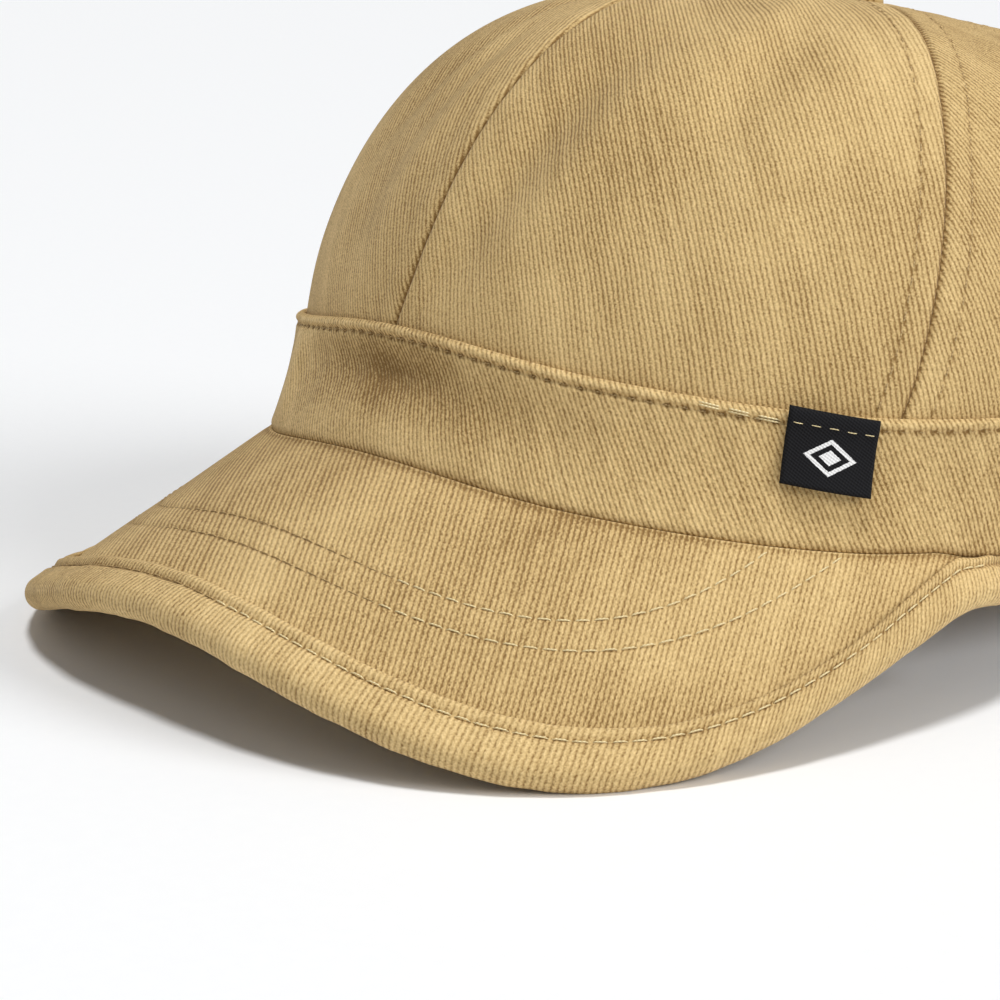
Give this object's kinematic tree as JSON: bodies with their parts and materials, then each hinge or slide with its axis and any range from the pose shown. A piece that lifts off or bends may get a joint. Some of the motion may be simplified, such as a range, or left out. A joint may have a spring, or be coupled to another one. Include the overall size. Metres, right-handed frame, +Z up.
{
  "type": "dad hat",
  "caption": "Soft cotton twill cap with a panelled crown, a separate band, a short arched peak with a bound edge, a small side tab and a strapped arch at the back.",
  "frame": {"origin": "on the table, under the middle of the hat's box", "axes": "+X to the wearer's left, +Y to the back of the hat, +Z up"},
  "size_m": [0.1794, 0.2402, 0.1172],
  "materials": {
    "crown_twill": "washed khaki cotton twill",
    "band_twill": "washed khaki cotton twill",
    "peak_twill": "washed khaki cotton twill",
    "binding_twill": "washed khaki cotton twill cut on the bias",
    "tab_weave": "black woven label",
    "buckle_metal": "aged brass"
  },
  "bodies": {
    "root": {"panel_front_left": "crown_twill", "panel_front_right": "crown_twill", "panel_side_left": "crown_twill", "panel_side_right": "crown_twill", "panel_back_left": "crown_twill", "panel_back_right": "crown_twill", "band": "band_twill", "brim": "peak_twill", "brim_binding": "binding_twill", "label_tab": "tab_weave", "top_button": "crown_twill", "back_strap": "band_twill", "strap_buckle": "buckle_metal"}
  },
  "joints": []
}
